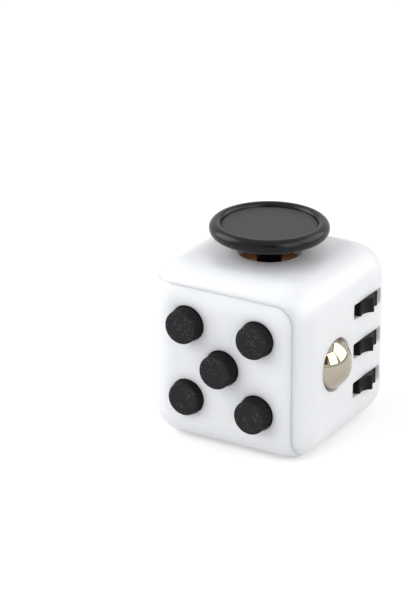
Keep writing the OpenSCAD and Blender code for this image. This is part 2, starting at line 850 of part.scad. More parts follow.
// Floor under the rocker with two click pits, and ears that hold the pin
module rocker_bracket() {
  pit_r = rocker_ball_r + pit_depth;
  ear_len = rocker_floor + rocker_floor_t - wall_t - wall_room;
  pit_at = (rocker_floor - rocker_sink) * sin(rocker_tilt);
  color(frame_grey) on_face(BACK) difference() {
    union() {
      sunk(rocker_floor + rocker_floor_t) {
        block(2 * post_r + rocker_arm_extra, 2 * (rocker_post_z + post_r), rocker_floor_t);
        block(2 * (rocker_ear_x + rocker_ear_t), 2 * rocker_ear_z, rocker_floor_t);
        for (side = [-1, 1]) translate([side * (rocker_ear_x + rocker_ear_t / 2), 0, 0])
          block(rocker_ear_t, 2 * rocker_ear_z, ear_len);
      }
    }
    sunk(rocker_sink, [-rocker_ear_x - rocker_ear_t - past, 0]) rotate([0, 90, 0])
      cylinder(r = rocker_pin_r + thread_gap, h = 2 * (rocker_ear_x + rocker_ear_t + past));
    for (side = [-1, 1]) {
      sunk(rocker_floor - pit_r + pit_depth, [0, side * pit_at]) sphere(pit_r);
      sunk(rocker_floor + rocker_floor_t + past, [0, side * rocker_post_z])
        cylinder(r = screw_r + slide_gap, h = rocker_floor_t + 2 * past);
    }
  }
}

// Dial with a rounded edge, a fingertip dimple and a hub through the wall
module dial() {
  under = dial_seat - slide_gap;
  edge = dial_edge_r;
  color(cap_black) on_face(LEFT) difference() {
    rotate_extrude() {
      translate([0, -under]) square([dial_r, under + dial_rise - edge]);
      translate([0, dial_rise - edge - weld]) square([dial_r - edge, edge + weld]);
      intersection() {
        translate([dial_r - edge, dial_rise - edge]) circle(edge);
        translate([0, dial_rise - edge]) square([dial_r, edge]);
      }
      translate([0, -dial_hub_end]) square([dial_hub_r, dial_hub_end]);
    }
    translate([0, dimple_at, dial_rise + sqrt(pow(dimple_ball_r, 2) - pow(dimple_r, 2))])
      sphere(dimple_ball_r);
    sunk(dial_hub_end + past) cylinder(r = screw_r + thread_gap, h = past + dial_pilot);
  }
}

module dial_washer() {
  color(steel) on_face(LEFT) sunk(dial_hub_end + dial_washer_t)
    tube(dial_washer_r, screw_r + thread_gap, dial_washer_t);
}

module dial_screw() {
  color(steel) on_face(LEFT) sunk(dial_hub_end + dial_washer_t)
    screw(dial_washer_t + dial_screw_bite, dial_screw_head_r);
}

// The screws that hold the five modules to the posts of the shell
module module_screws() {
  color(steel) {
    on_face(FRONT) for (at = BUTTON_POSTS) sunk(plate_back, at) screw(plate_t + bite);
    on_face(TOP) for (at = GLIDE_POSTS) sunk(floor_top + floor_t, at) screw(floor_t + glide_bite);
    on_face(RIGHT) for (side = [-1, 1]) {
      sunk(ball_ear_at + ear_t, [ball_y, side * ball_post_z]) screw(ear_t + bite);
      sunk(foot_top + ear_t, [gear_y, side * foot_z]) screw(ear_t + foot_bite);
    }
    on_face(BACK) for (side = [-1, 1])
      sunk(rocker_floor + rocker_floor_t, [0, side * rocker_post_z]) screw(rocker_floor_t + bite);
  }
}

front_shell();
rear_shell();
button_top_left();
button_top_right();
button_centre();
button_bottom_left();
button_bottom_right();
spring_top_left();
spring_top_right();
spring_centre();
spring_bottom_left();
spring_bottom_right();
click_domes();
button_plate();
glide_disc();
glide_washer();
glide_slider();
glide_screw();
cross_slider();
glide_y_springs();
glide_x_springs();
glide_retainer();
steel_ball();
ball_cup();
ball_spring();
ball_holder();
gear_top();
gear_middle();
gear_bottom();
gear_axle();
axle_spacers();
gear_bracket();
rocker();
rocker_pin();
rocker_ball();
rocker_spring();
rocker_bracket();
dial();
dial_washer();
dial_screw();
module_screws();
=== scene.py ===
# %% [markdown]
# # A fidget cube
# This cube of white plastic has something to fiddle with on each face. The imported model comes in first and
# stays fixed: it says where each part is and how it moves. Everything after this dresses it, and nothing
# shifts it. Starting from a finished frame keeps every new piece in its true place without fitting by eye.

# %% Load the frame
import json
import math

import bpy
from mathutils import Euler, Matrix, Vector


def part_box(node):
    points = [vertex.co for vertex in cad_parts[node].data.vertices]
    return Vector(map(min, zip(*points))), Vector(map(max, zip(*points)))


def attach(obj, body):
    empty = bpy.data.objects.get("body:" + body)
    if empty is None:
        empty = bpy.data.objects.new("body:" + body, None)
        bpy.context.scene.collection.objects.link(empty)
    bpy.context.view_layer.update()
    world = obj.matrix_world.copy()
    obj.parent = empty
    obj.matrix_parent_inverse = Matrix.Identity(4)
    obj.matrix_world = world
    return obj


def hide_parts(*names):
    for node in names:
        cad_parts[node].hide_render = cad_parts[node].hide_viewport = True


MM = 0.001
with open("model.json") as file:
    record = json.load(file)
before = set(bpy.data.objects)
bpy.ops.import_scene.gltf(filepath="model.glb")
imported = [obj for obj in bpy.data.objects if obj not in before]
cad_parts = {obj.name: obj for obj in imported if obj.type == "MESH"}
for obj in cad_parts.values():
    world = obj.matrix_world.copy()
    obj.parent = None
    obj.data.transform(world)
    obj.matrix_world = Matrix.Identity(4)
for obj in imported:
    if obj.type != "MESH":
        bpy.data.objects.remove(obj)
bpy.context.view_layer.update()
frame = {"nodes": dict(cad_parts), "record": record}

# %% [markdown]
# Every flat face of the cube is the same distance from its middle. The front half of the shell starts at the
# front face, so the low end of its box in Y is that distance, and the middle lies as far above the floor.

# %% Find the middle
HALF = -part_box("front_shell")[0].y
MIDDLE = Vector((0, 0, HALF))
print("half width", round(HALF / MM, 3), "mm")

# %% [markdown]
# The camera stands in front, to the right and above, far away behind a long lens. That is how a product is
# usually shown: a long lens keeps the edges of the cube nearly parallel. The lens is also moved a little
# sideways and up, which places the cube in the frame without tilting the view. The camera leans by less than
# half a degree, as one on a real tripod may.

# %% Place the camera
AZIMUTH = math.radians(29.65)
ELEVATION = math.radians(23.3)
ROLL = math.radians(0.398)
DISTANCE = 0.55
LENS, SENSOR = 184.3, 36
SHIFT_X, SHIFT_Y = -0.1135, 0.0591
NEAREST = 0.01

camera_data = bpy.data.cameras.new("camera")
camera_data.lens = LENS
camera_data.sensor_width = SENSOR
camera_data.shift_x = SHIFT_X
camera_data.shift_y = SHIFT_Y
camera_data.clip_start = NEAREST
camera = bpy.data.objects.new("camera", camera_data)
bpy.context.scene.collection.objects.link(camera)
towards = Vector((math.sin(AZIMUTH) * math.cos(ELEVATION), -math.cos(AZIMUTH) * math.cos(ELEVATION),
                  math.sin(ELEVATION)))
camera.location = MIDDLE + DISTANCE * towards
aim = (-towards).to_track_quat("-Z", "Y").to_matrix().to_4x4()
camera.matrix_world = Matrix.Translation(camera.location) @ aim @ Matrix.Rotation(ROLL, 4, "Z")
bpy.context.scene.camera = camera
print("camera at", [round(v, 3) for v in camera.location])

# %% [markdown]
# Colours are written as they look on a screen. Blender works with linear light, so one function turns the
# first into the second. Another adds a node with its settings and links, and a third starts a new material. All
# the finishes below use them.

# %% Helpers for materials


def linear(code):
    """A screen colour such as #f1f2f4 as linear light."""
    parts = [int(code[i:i + 2], 16) / 255 for i in (1, 3, 5)]
    return [c / 12.92 if c <= 0.04045 else ((c + 0.055) / 1.055) ** 2.4 for c in parts] + [1]


def add_node(tree, kind, settings=None, values=None, links=None):
    """Adds a node, sets its properties and sockets, and links other nodes' outputs into it."""
    new = tree.nodes.new(kind)
    for key, value in (settings or {}).items():
        setattr(new, key, value)
    for key, value in (values or {}).items():
        new.inputs[key].default_value = value
    for key, output in (links or {}).items():
        tree.links.new(output, new.inputs[key])
    return new


def new_finish(name):
    """An empty material with its shader and its object coordinates."""
    made = bpy.data.materials.new(name)
    made.use_nodes = True
    tree = made.node_tree
    shader = tree.nodes["Principled BSDF"]
    place = add_node(tree, "ShaderNodeTexCoord")
    return made, tree, shader, place


# %% [markdown]
# Nearly all of the cube is ABS, which is moulded in a steel tool. The eye sees a soft gloss with a very fine
# ripple, left by the flow of the plastic. A noise of the ripple's real size bends the light by a hair, and the
# same noise lets the roughness wander a little. One function does this for every plastic, so that they differ
# only in colour, gloss and grain.

# %% Moulded plastic
PLASTIC_IOR = 1.5
WANDER = 0.04


def moulded_plastic(name, colour, roughness, grain_mm, bump_mm, gloss):
    """Plastic with a grain of a real size, and a roughness that wanders."""
    made, tree, shader, place = new_finish(name)
    shader.inputs["Base Color"].default_value = linear(colour)
    shader.inputs["IOR"].default_value = PLASTIC_IOR
    shader.inputs["Specular IOR Level"].default_value = gloss
    grain = add_node(tree, "ShaderNodeTexNoise", values={"Scale": 1 / (grain_mm * MM), "Detail": 3.0},
                     links={"Vector": place.outputs["Object"]})
    rough = add_node(tree, "ShaderNodeMapRange",
                     values={"To Min": roughness - WANDER, "To Max": roughness + WANDER},
                     links={"Value": grain.outputs["Fac"]})
    tree.links.new(rough.outputs["Result"], shader.inputs["Roughness"])
    bump = add_node(tree, "ShaderNodeBump", values={"Strength": 1.0, "Distance": bump_mm * MM},
                    links={"Height": grain.outputs["Fac"]})
    tree.links.new(bump.outputs["Normal"], shader.inputs["Normal"])
    return made


# %% [markdown]
# The white ABS of the shell lets light a millimetre or two in and out again. That softens the shadow in each
# slot and along the seam, and it is why moulded white looks like plastic and not like paint. The radius is a
# little longer for red than for blue, as it is in most plastics.

# %% White ABS
SCATTER, SCATTER_MM, SCATTER_RADIUS = 0.6, 2.2, (1, 0.94, 0.86)
ABS_WHITE = moulded_plastic("moulded_white_abs", "#eceef1", 0.3, 1.6, 0.004, gloss=0.5)
white_shader = ABS_WHITE.node_tree.nodes["Principled BSDF"]
white_shader.inputs["Subsurface Weight"].default_value = SCATTER
white_shader.inputs["Subsurface Radius"].default_value = SCATTER_RADIUS
white_shader.inputs["Subsurface Scale"].default_value = SCATTER_MM * MM
print("white ABS lets light", SCATTER_MM, "mm in")

# %% [markdown]
# The rest of the plastic is ABS too. What sets the pieces apart is the tool each was moulded in. A polished tool
# gives the disc's rim its clear highlights. Spark erosion gives its dish an even, dull grain. The wheels, the
# rocker and the dial come from a plain tool, between the two. The spark-eroded grain is really about a twentieth
# of a millimetre, too fine to show, so it is drawn about four times as coarse.

# %% Black and grey ABS
DISC_ABS = moulded_plastic("semi_gloss_black_abs", "#0c0d0e", 0.26, 0.5, 0.0015, gloss=0.22)
DISH_ABS = moulded_plastic("spark_eroded_black_abs", "#38383a", 0.6, 0.22, 0.012, gloss=0.3)
WHEEL_ABS = moulded_plastic("moulded_black_abs", "#0f0f11", 0.42, 0.4, 0.003, gloss=0.14)
FRAME_ABS = moulded_plastic("natural_grey_abs", "#c9cbce", 0.5, 0.8, 0.004, gloss=0.5)
print("black and grey ABS made")

# %% [markdown]
# The button caps have a soft-touch coat, a thin rubbery paint with hardly any gloss. Its grain is really too
# fine to show and is drawn about four times as coarse. Dust sticks to such a coat in specks, and more of it here
# than there. Each cell of a Voronoi pattern has one point for a speck and a colour of its own, whose red says
# how strong that speck is. A slow noise thins the specks out in patches. Real dust is finer than this: the
# specks are as small as they can be and still show.

# %% Dusty soft-touch coat
DUST_CELL_MM, DUST_PATCH_MM = 0.32, 1.6
SPECK_CORE, SPECK_EDGE = 0.12, 0.3
PATCH_BARE, PATCH_FULL = 0.4, 0.62
CAP_RUBBER = moulded_plastic("soft_touch_black", "#29292b", 0.75, 0.2, 0.02, gloss=0.08)
tree = CAP_RUBBER.node_tree
shader = tree.nodes["Principled BSDF"]
place = add_node(tree, "ShaderNodeTexCoord")
cells = add_node(tree, "ShaderNodeTexVoronoi", values={"Scale": 1 / (DUST_CELL_MM * MM)},
                 links={"Vector": place.outputs["Object"]})
speck = add_node(tree, "ShaderNodeMapRange",
                 values={"From Min": SPECK_CORE, "From Max": SPECK_EDGE, "To Min": 1.0, "To Max": 0.0},
                 links={"Value": cells.outputs["Distance"]})
strength = add_node(tree, "ShaderNodeSeparateColor", links={"Color": cells.outputs["Color"]})
slow = add_node(tree, "ShaderNodeTexNoise", values={"Scale": 1 / (DUST_PATCH_MM * MM), "Detail": 1.0},
                links={"Vector": place.outputs["Object"]})
patch = add_node(tree, "ShaderNodeMapRange", values={"From Min": PATCH_BARE, "From Max": PATCH_FULL},
                 links={"Value": slow.outputs["Fac"]})
uneven = add_node(tree, "ShaderNodeMath", {"operation": "MULTIPLY"},
                  links={0: speck.outputs["Result"], 1: strength.outputs["Red"]})
dust = add_node(tree, "ShaderNodeMath", {"operation": "MULTIPLY"},
                links={0: uneven.outputs[0], 1: patch.outputs["Result"]})
dusty = add_node(tree, "ShaderNodeMix", {"data_type": "RGBA"}, {"A": linear("#29292b"), "B": linear("#8e8e92")},
                 {"Factor": dust.outputs[0]})
print("dust made with", len(tree.nodes), "nodes")

# %% [markdown]
# The sides of each cap get painted shade, a near black darker than the coat, and the dust stays on the face. So
# the colour goes from one to the other by the way the surface looks, which is towards -Y on the face of every
# cap.

# %% Dusty faces and painted shade on the sides
SIDE_FROM, FACE_FROM = 0.15, -0.95
# Painted shade: where a cap's surface turns away from -Y, its colour goes to #131315, darker than the coat; the
# face keeps the dusty coat.
looks = add_node(tree, "ShaderNodeSeparateXYZ", links={"Vector": place.outputs["Normal"]})
face_vs_shaded_side = add_node(tree, "ShaderNodeMapRange", values={"From Min": SIDE_FROM, "From Max": FACE_FROM},
                   links={"Value": looks.outputs["Y"]})
dust_and_side_shade = add_node(tree, "ShaderNodeMix", {"data_type": "RGBA"}, {"A": linear("#131315")},
                      {"B": dusty.outputs["Result"], "Factor": face_vs_shaded_side.outputs["Result"]})
tree.links.new(dust_and_side_shade.outputs["Result"], shader.inputs["Base Color"])
print("soft-touch finish with", len(tree.nodes), "nodes")

# %% [markdown]
# Metals have no colour of their own under the surface: all that is seen is reflection. So a metal is only a tint
# and a roughness. The roughness wanders with a noise, as wide as the marks that its last treatment left.

# %% Bare metal


def metal(name, colour, roughness, grain_mm, spread):
    """Metal whose roughness wanders by spread over marks of a real size."""
    made, tree, shader, place = new_finish(name)
    shader.inputs["Base Color"].default_value = linear(colour)
    shader.inputs["Metallic"].default_value = 1
    grain = add_node(tree, "ShaderNodeTexNoise", values={"Scale": 1 / (grain_mm * MM), "Detail": 2.0},
                     links={"Vector": place.outputs["Object"]})
    rough = add_node(tree, "ShaderNodeMapRange",
                     values={"To Min": roughness - spread, "To Max": roughness + spread},
                     links={"Value": grain.outputs["Fac"]})
    tree.links.new(rough.outputs["Result"], shader.inputs["Roughness"])
    return made


# %% [markdown]
# The ball is polished to a mirror, with the faint warmth of nickel, and shows whatever is round it. The screws,
# springs and pins are zinc plated, which is brighter and more blurred. The washer under the disc and the leaf
# springs are phosphor bronze, rolled into strip: that is the orange glint in the hole.

# %% Steel and bronze
BALL_STEEL = metal("polished_nickel_steel", "#aaa394", 0.05, 2.0, 0.02)
PLATED_STEEL = metal("zinc_plated_steel", "#b9bcc0", 0.3, 0.5, 0.08)
BRONZE = metal("rolled_phosphor_bronze", "#b0703a", 0.32, 0.4, 0.08)
print("metals made")

# %% [markdown]
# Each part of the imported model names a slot, such as shell_white or steel. Giving every part the finish of its
# slot now means that none is forgotten, even those that no new piece will replace.

# %% Give each part its finish
SLOT_FINISH = {"shell_white": ABS_WHITE, "button_black": CAP_RUBBER, "disc_black": DISC_ABS,
               "gear_black": WHEEL_ABS, "rocker_black": WHEEL_ABS, "frame_grey": FRAME_ABS,
               "steel": PLATED_STEEL, "bronze": BRONZE, "ball_chrome": BALL_STEEL}
for part in frame["record"]["subparts"]:
    owner = frame["nodes"][part["node"]]
    owner.data.materials.clear()
    owner.data.materials.append(SLOT_FINISH[part["material_slot"]])

# %% [markdown]
# Every operator acts on what is selected, so each piece starts by letting go of everything else. Two helpers
# keep that in one place. Two more write a turn in degrees and a shift in millimetres, and the last puts a piece
# on a face of the cube. Each face is a turn about the middle of the cube, so a piece is modelled lying flat,
# with the face's surface at height 0.

# %% Helpers for selecting and seating
FACE_TURNS = {"top": (0, 0, 0), "front": (90, 0, 0), "right": (90, 0, 90), "back": (90, 0, 180),
              "left": (90, 0, -90), "bottom": (180, 0, 0)}


def let_go():
    """Deselects everything, in object mode."""
    if bpy.context.object and bpy.context.object.mode != "OBJECT":
        bpy.ops.object.mode_set(mode="OBJECT")
    bpy.ops.object.select_all(action="DESELECT")


def pick(piece):
    """Makes one piece the only one selected."""
    let_go()
    piece.select_set(True)
    bpy.context.view_layer.objects.active = piece


def turn_by(angles):
    """A turn about X, Y and Z, in degrees."""
    return Euler([math.radians(a) for a in angles], "XYZ").to_matrix().to_4x4()


def shift_by(at):
    """A shift in millimetres."""
    return Matrix.Translation([v * MM for v in at])


def seat(piece, face, at=(0, 0, 0)):
    """Moves a piece to a place on a face of the cube, given in millimetres, and fixes it there."""
    face_matrix = Matrix.Translation(MIDDLE) @ turn_by(FACE_TURNS[face]) @ Matrix.Translation((0, 0, HALF))
    piece.matrix_world = face_matrix @ shift_by(at) @ piece.matrix_world
    pick(piece)
    bpy.ops.object.transform_apply(location=True, rotation=True, scale=True)
    return piece


# %% [markdown]
# Cutting and joining are done with the Boolean modifier, and edges are rolled with Bevel. Blender's exact
# cutting may number its points in another order on each run, and the next cut or bevel then comes out a hair
# differently. Sorting them by their distance from one spot, off to one side of the cube, keeps nearly every
# piece the same from one run to the next.

# %% Helpers for cutting and rolling edges
SORT_FROM = (0.0231, 0.0347, 0.0573)


def apply_modifier(piece, kind, **settings):
    """Adds a modifier and makes what it does part of the mesh."""
    pick(piece)
    added = piece.modifiers.new(kind.lower(), kind)
    for key, value in settings.items():
        setattr(added, key, value)
    bpy.ops.object.modifier_apply(modifier=added.name)


def renumber(piece):
    """Numbers points, edges and faces by how far they are from one spot."""
    bpy.context.scene.cursor.location = SORT_FROM
    pick(piece)
    bpy.ops.object.mode_set(mode="EDIT")
    bpy.ops.mesh.select_all(action="SELECT")
    bpy.ops.mesh.sort_elements(type="CURSOR_DISTANCE", elements={"VERT", "EDGE", "FACE"})
    bpy.ops.object.mode_set(mode="OBJECT")


def combine(piece, other, how):
    """Cuts, joins or crosses a piece with another, which is used up."""
    apply_modifier(piece, "BOOLEAN", operation=how, object=other, solver="EXACT")
    bpy.data.objects.remove(other)
    renumber(piece)


def smooth(piece, angle=30):
    """Shades a piece smooth, except where its faces meet at more than the angle."""
    pick(piece)
    bpy.ops.object.shade_smooth_by_angle(angle=math.radians(angle))


def soften(piece, width_mm, segments=2, angle=35):
    """Rolls the sharp edges of a moulded piece and shades it smooth."""
    apply_modifier(piece, "BEVEL", width=width_mm * MM, segments=segments, limit_method="ANGLE",
                   angle_limit=math.radians(angle), use_clamp_overlap=True)
    smooth(piece)


# %% [markdown]
# Many cuts in one piece can leave two points a hair apart, and a gap that narrow is still a hole in the mesh.
# One helper counts the edges that don't have a face on each side, and another merges points until none is left.

# %% Helpers for closing a mesh
SEAL_REACHES = (0.0001, 0.001, 0.01)


def open_edges(piece):
    """How many edges have more or fewer than two faces."""
    sides = {}
    for face in piece.data.polygons:
        for key in face.edge_keys:
            sides[key] = sides.get(key, 0) + 1
    return sum(count != 2 for count in sides.values())


def seal(piece):
    """Merges points no further apart than it takes to close the piece."""
    for reach in SEAL_REACHES:
        pick(piece)
        bpy.ops.object.mode_set(mode="EDIT")
        bpy.ops.mesh.select_mode(type="VERT")
        bpy.ops.mesh.select_all(action="SELECT")
        bpy.ops.mesh.remove_doubles(threshold=reach * MM)
        bpy.ops.mesh.dissolve_degenerate(threshold=reach * MM)
        bpy.ops.object.mode_set(mode="OBJECT")
        if not open_edges(piece):
            break
    print(piece.name, "has", open_edges(piece), "open edges")


# %% [markdown]
# Many of these parts are round. On a lathe a part is turned from a blank, step by step along its axis. Here a
# disc is extruded a little, then widened or narrowed, once for each step of the profile. An arc of points gives
# a profile its rounded edges.

# %% A lathe


def turned(name, profile, sides=96):
    """A round piece about Z. profile is a list of (radius, height) in millimetres, from the bottom up."""
    let_go()
    last_r, last_h = profile[0]
    bpy.ops.mesh.primitive_circle_add(vertices=sides, radius=last_r * MM, fill_type="NGON",
                                      location=(0, 0, last_h * MM))
    piece = bpy.context.object
    piece.name = name
    bpy.ops.object.mode_set(mode="EDIT")
    bpy.ops.mesh.select_mode(type="FACE")
    bpy.ops.mesh.select_all(action="SELECT")
    for r, h in profile[1:]:
        bpy.ops.mesh.extrude_region_move(TRANSFORM_OT_translate={"value": (0, 0, (h - last_h) * MM)})
        scale = r / last_r
        bpy.ops.transform.resize(value=(scale, scale, 1), center_override=(0, 0, h * MM))
        last_r, last_h = r, h
    bpy.ops.mesh.select_all(action="SELECT")
    bpy.ops.mesh.normals_make_consistent(inside=False)
    bpy.ops.object.mode_set(mode="OBJECT")
    bpy.ops.object.transform_apply(location=True, rotation=False, scale=False)
    return piece


def arc(centre, r, start, end, steps=8):
    """Points (radius, height) round an arc, in degrees."""
    angles = [math.radians(start + (end - start) * i / steps) for i in range(steps + 1)]
    return [(centre[0] + r * math.cos(a), centre[1] + r * math.sin(a)) for a in angles]


# %% [markdown]
# The slots and the rocker's opening have straight sides and small round corners. Such a cutter is a cube whose
# four upright edges are found by their direction and bevelled.

# %% A block with round corners
SAME_PLACE = 1e-7


def rounded_box(name, size_x, size_y, size_z, r, base_z=0, segments=6):
    """A block with upright edges rounded, in millimetres, standing on base_z."""
    let_go()
    bpy.ops.mesh.primitive_cube_add(size=1, location=(0, 0, (base_z + size_z / 2) * MM))
    piece = bpy.context.object
    piece.name = name
    piece.scale = (size_x * MM, size_y * MM, size_z * MM)
    bpy.ops.object.transform_apply(location=True, rotation=True, scale=True)
    bpy.ops.object.mode_set(mode="EDIT")
    bpy.ops.mesh.select_mode(type="EDGE")
    bpy.ops.mesh.select_all(action="DESELECT")
    bpy.ops.object.mode_set(mode="OBJECT")
    for edge in piece.data.edges:
        a, b = (piece.data.vertices[v].co for v in edge.vertices)
        edge.select = abs(a.x - b.x) < SAME_PLACE and abs(a.y - b.y) < SAME_PLACE
    bpy.ops.object.mode_set(mode="EDIT")
    bpy.ops.mesh.bevel(offset=r * MM, segments=segments, affect="EDGES")
    bpy.ops.object.mode_set(mode="OBJECT")
    return piece


# %% [markdown]
# The shell is a rounded box with walls 2 mm thick. It starts as a cube whose edges are bevelled until they are
# quarter circles. A smaller one is cut out of it, and then each opening.

# %% Shell blank
WALL = 2.0
EDGE_R = 6.2
EDGE_STEPS, INNER_STEPS = 20, 12
CUBE = 2 * HALF / MM


def rounded_cube(name, width, r, segments):
    """A cube about the middle of the toy, with every edge and corner rounded, in millimetres."""
    let_go()
    bpy.ops.mesh.primitive_cube_add(size=width * MM, location=MIDDLE)
    piece = bpy.context.object
    piece.name = name
    bpy.ops.object.mode_set(mode="EDIT")
    bpy.ops.mesh.select_all(action="SELECT")
    bpy.ops.mesh.bevel(offset=r * MM, segments=segments, affect="EDGES")
    bpy.ops.object.mode_set(mode="OBJECT")
    pick(piece)
    bpy.ops.object.transform_apply(location=True, rotation=True, scale=True)
    return piece


def opening(face, piece, at=(0, 0, 0)):
    """Cuts a shape out of the shell blank."""
    combine(shell, seat(piece, face, at), "DIFFERENCE")


shell = rounded_cube("shell_blank", CUBE, EDGE_R, EDGE_STEPS)
combine(shell, rounded_cube("cavity", CUBE - 2 * WALL, EDGE_R - WALL, INNER_STEPS), "DIFFERENCE")
print("shell blank has", len(shell.data.polygons), "faces")

# %% [markdown]
# The openings are where the working parts come through. Their places come from the parts themselves, so each
# hole lies round its own part.

# %% Openings for the buttons, the disc and the ball
BUTTON_HOLE_R, DISC_HOLE_R = 3.32, 5.75
BALL_HOLE_R, BALL_ROOM_R, BALL_LIP = 4.9, 5.3, 1.3
CUT_FROM, CUT_TO = -3, 1
PLACES = ["top_left", "top_right", "centre", "bottom_left", "bottom_right"]


def mid(node):
    """The middle of a part's box."""
    low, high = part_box(node)
    return (low + high) / 2


for place in PLACES:
    centre = mid("button_" + place)
    opening("front", turned("cutter", [(BUTTON_HOLE_R, CUT_FROM), (BUTTON_HOLE_R, CUT_TO)], 64),
            (centre.x / MM, (centre.z - HALF) / MM, 0))
opening("top", turned("cutter", [(DISC_HOLE_R, CUT_FROM), (DISC_HOLE_R, CUT_TO)], 96))
ball_y = mid("steel_ball").y / MM
opening("right", turned("cutter", [(BALL_HOLE_R, CUT_FROM), (BALL_HOLE_R, CUT_TO)], 96), (ball_y, 0, 0))
opening("right", turned("cutter", [(BALL_ROOM_R, CUT_FROM), (BALL_ROOM_R, -BALL_LIP)], 96), (ball_y, 0, 0))
print("round openings cut,", len(shell.data.polygons), "faces")

# %% [markdown]
# Each wheel shows through a slot, and turns in a round room behind it that is cut from the inside of the wall.
# The rocker's opening is a block too. The dial lies in a shallow round recess, with a hole for its hub.

# %% Openings for the wheels, the rocker and the dial
SLOT_LONG, SLOT_HIGH, SLOT_CORNER = 10.3, 2.9, 0.3
AXLE_SINK, WHEEL_ROOM_R = 4.0, 5.5
ROCKER_HOLE = (7.4, 13.2)
ROCKER_HOLE_CORNER = 0.4
DIAL_ROOM_R, DIAL_ROOM_DEEP, HUB_HOLE_R = 8.0, 0.8, 2.45
WHEELS = ("gear_top", "gear_middle", "gear_bottom")
gear_y = mid("gear_middle").y / MM
for gear in WHEELS:
    up = (mid(gear).z - HALF) / MM
    slot = rounded_box("cutter", SLOT_LONG, SLOT_HIGH, CUT_TO - CUT_FROM, SLOT_CORNER, CUT_FROM)
    opening("right", slot, (gear_y, up, 0))
    room = turned("cutter", [(WHEEL_ROOM_R, -SLOT_HIGH / 2), (WHEEL_ROOM_R, SLOT_HIGH / 2)], 96)
    room.matrix_world = Matrix.Rotation(math.radians(90), 4, "X")
    opening("right", room, (gear_y, up, -AXLE_SINK))
opening("back", rounded_box("cutter", *ROCKER_HOLE, CUT_TO - CUT_FROM, ROCKER_HOLE_CORNER, CUT_FROM))
opening("left", turned("cutter", [(DIAL_ROOM_R, -DIAL_ROOM_DEEP), (DIAL_ROOM_R, CUT_TO)], 96))
opening("left", turned("cutter", [(HUB_HOLE_R, CUT_FROM), (HUB_HOLE_R, 0)], 64))
print("openings cut,", len(shell.data.polygons), "faces")

# %% [markdown]
# The thumb hollow is the cap of a big ball, pressed into the underside. The wall bulges inwards by as much, so
# that it keeps its thickness.

# %% Thumb hollow
HOLLOW_R, HOLLOW_DEEP = 9.5, 1.5
THUMB_R = (HOLLOW_R ** 2 + HOLLOW_DEEP ** 2) / (2 * HOLLOW_DEEP)
CAP_REACH, LEAST_R = 2.6, 0.05


def cap_profile(r, sink, steps=14):
    """The lower part of a ball that reaches down to sink below the face, as turned steps."""
    widest = math.asin(min(1, (HOLLOW_R + CAP_REACH) / r))
    angles = [widest * i / steps for i in range(steps + 1)]
    return [(max(r * math.sin(a), LEAST_R), r - sink - r * math.cos(a)) for a in angles]


backing = turned("backing", cap_profile(THUMB_R + WALL, HOLLOW_DEEP + WALL), 96)
combine(shell, seat(backing, "bottom"), "UNION")
inside = turned("hollow", cap_profile(THUMB_R, HOLLOW_DEEP) + [(HOLLOW_R + 3, 4)], 96)
opening("bottom", inside)
print("hollow cut,", len(shell.data.polygons), "faces")

# %% [markdown]
# The shell is moulded as two halves. The line where they meet runs just behind the faces of the front half and
# turns its corners in a wide curve. Each half is the blank crossed with, or cut by, the space in front of that
# line. A hair of space between them, and a rolled rim on each, makes the thin shadow that shows as the seam.

# %% Space in front of the seam
SEAM_BACK = 0.85
SEAM_AT = HALF / MM - (EDGE_R - math.sqrt(EDGE_R ** 2 - (EDGE_R - SEAM_BACK) ** 2))
SEAM_GAP = 0.07
SEAM_CORNER, SEAM_STEPS = 3.2, 10


def seam_block(limit):
    """A long block that ends at limit in X and Y, with its corner there rounded."""
    far = HALF / MM + 1
    let_go()
    bpy.ops.mesh.primitive_cube_add(size=1)
    piece = bpy.context.object
    piece.scale = ((limit + far) * MM, (limit + far) * MM, 2 * far * MM)
    piece.location = ((limit - far) / 2 * MM, (limit - far) / 2 * MM, 0)
    bpy.ops.object.transform_apply(location=True, rotation=True, scale=True)
    bpy.ops.object.mode_set(mode="EDIT")
    bpy.ops.mesh.select_mode(type="EDGE")
    bpy.ops.mesh.select_all(action="DESELECT")
    bpy.ops.object.mode_set(mode="OBJECT")

    def outward(edge):
        return sum(piece.data.vertices[v].co.x + piece.data.vertices[v].co.y for v in edge.vertices)

    max(piece.data.edges, key=outward).select = True
    bpy.ops.object.mode_set(mode="EDIT")
    bpy.ops.mesh.bevel(offset=SEAM_CORNER * MM, segments=SEAM_STEPS, affect="EDGES")
    bpy.ops.object.mode_set(mode="OBJECT")
    return piece


def front_space(limit):
    """The space that three such blocks share, which is what lies in front of the seam."""
    whole = None
    for face in ("top", "front", "right"):
        block = seam_block(limit)
        block.matrix_world = Matrix.Translation(MIDDLE) @ turn_by(FACE_TURNS[face])
        pick(block)
        bpy.ops.object.transform_apply(location=True, rotation=True, scale=True)
        if whole:
            combine(whole, block, "INTERSECT")
        else:
            whole = block
    return whole


# %% [markdown]
# Now the blank is copied, and each copy keeps its own side of the seam. Then the rims and the edges of the
# openings are rolled, because no moulded edge is sharp.

# %% Two halves
RIM_ROLL, RIM_ANGLE = 0.12, 38
pick(shell)
bpy.ops.object.duplicate()
rear_half = bpy.context.object
rear_half.name = "rear_housing"
front_half = shell
front_half.name = "front_housing"
combine(front_half, front_space(SEAM_AT - SEAM_GAP / 2), "INTERSECT")
combine(rear_half, front_space(SEAM_AT + SEAM_GAP / 2), "DIFFERENCE")
for half_shell in (front_half, rear_half):
    soften(half_shell, RIM_ROLL, segments=2, angle=RIM_ANGLE)
print("front half", len(front_half.data.polygons), "faces, rear half", len(rear_half.data.polygons), "faces")

# %% [markdown]
# Twelve small ribs of the rear half reach past the seam, inside the wall of the front half, and keep the two in
# line. Each is a rectangle spun through a quarter turn inside the rounded edge. A second sweep, over one end of
# it, reaches into the wall and is the root that the rib grows from.

